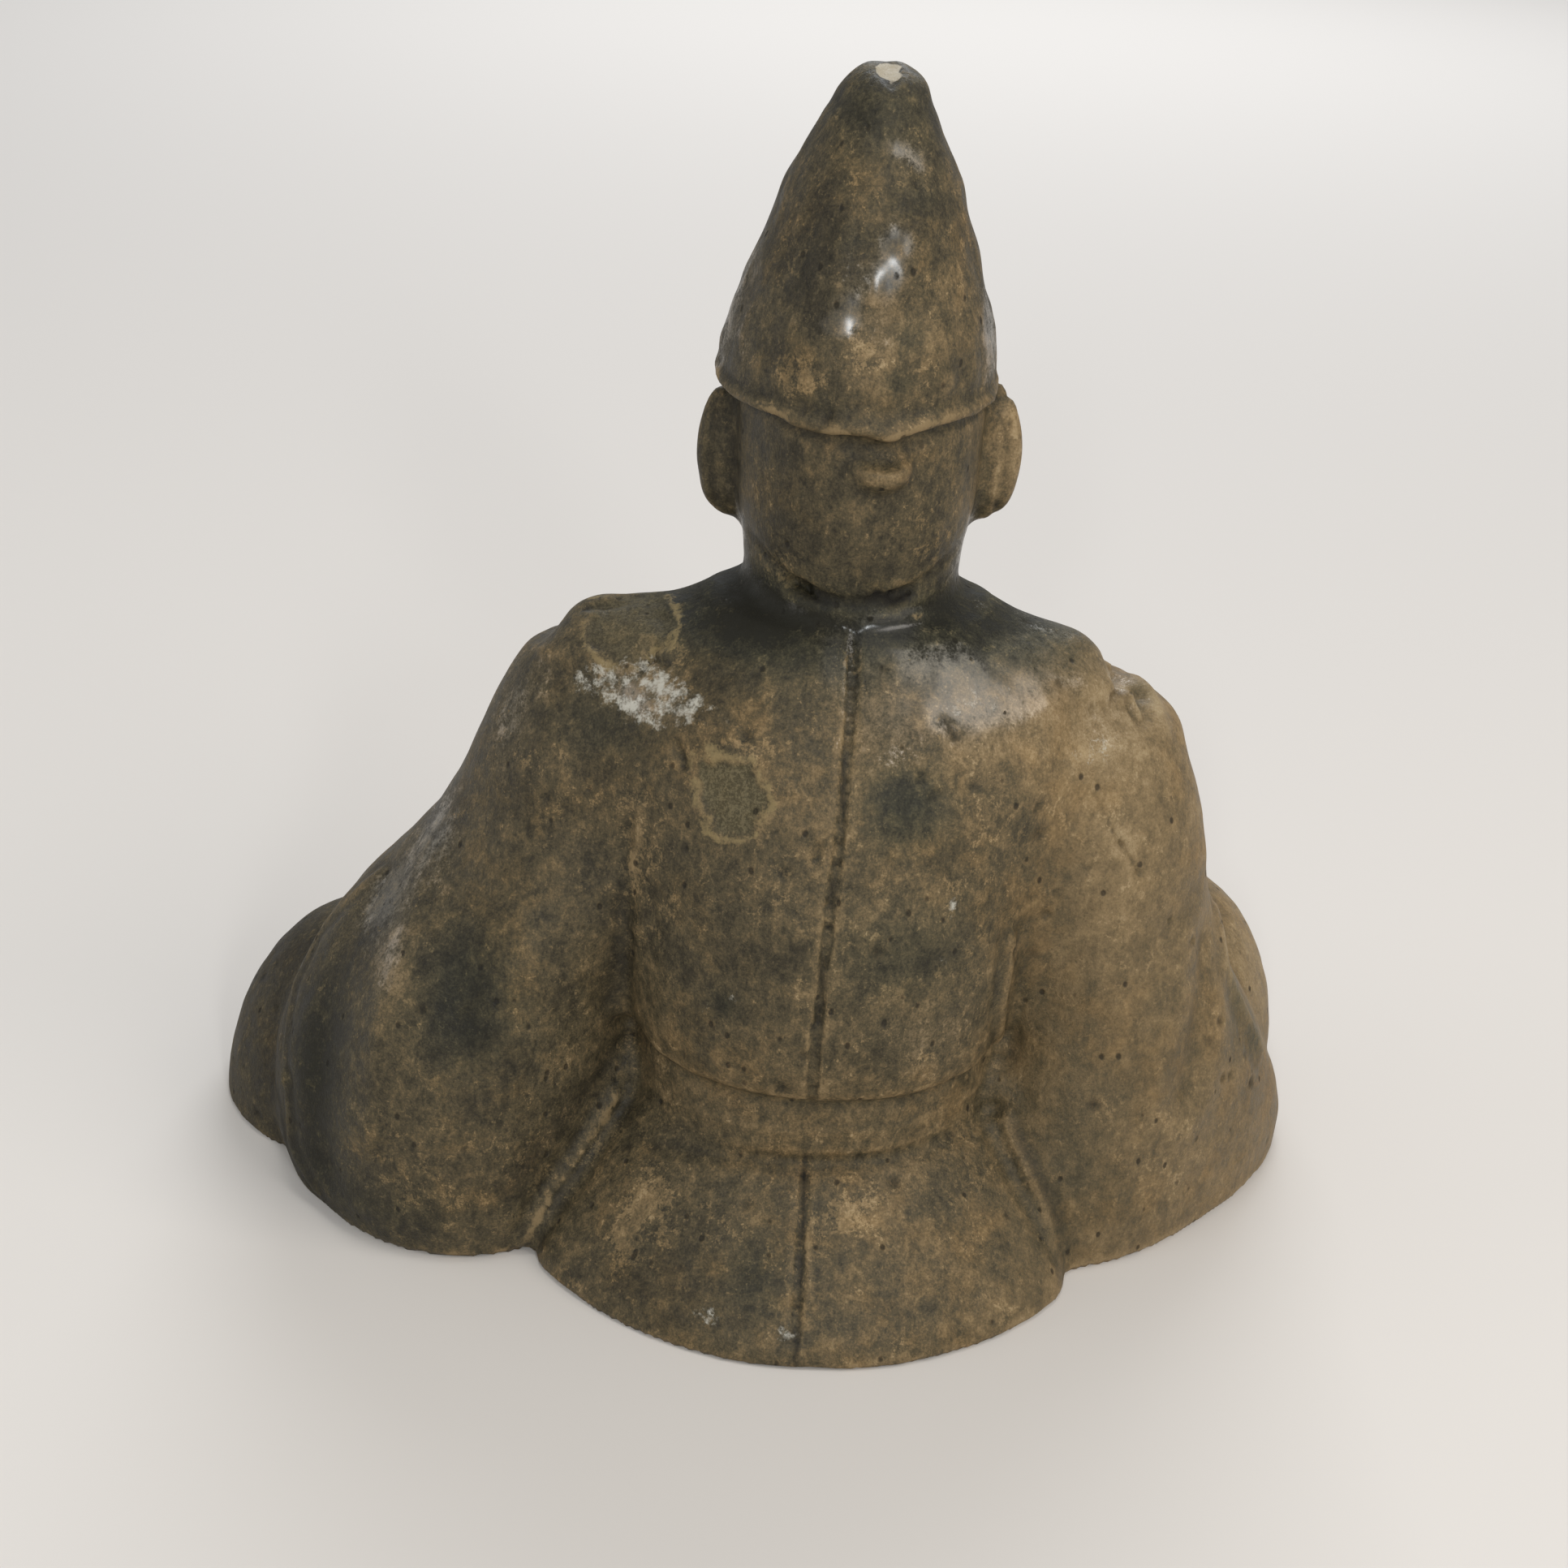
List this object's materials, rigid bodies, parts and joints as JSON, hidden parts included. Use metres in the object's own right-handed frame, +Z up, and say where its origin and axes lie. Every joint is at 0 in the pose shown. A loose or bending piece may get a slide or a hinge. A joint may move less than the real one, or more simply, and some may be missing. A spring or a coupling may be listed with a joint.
{
  "type": "seated figurine",
  "caption": "Small moulded clay figurine of a seated figure in a tall pointed cap, wide-sleeved belted robe and flared skirt, standing on its flat underside.",
  "frame": {"origin": "on the flat underside, straight below the neck", "axes": "+Z up from the underside, +Y towards the figure's back, +X towards the figure's own left"},
  "size_m": [0.0819, 0.0497, 0.08],
  "materials": {
    "fired_clay": "burnished, semi-gloss, smoke-greyed brown with worn tan edges"
  },
  "bodies": {
    "root": {"seated_figure": "fired_clay"}
  },
  "joints": []
}
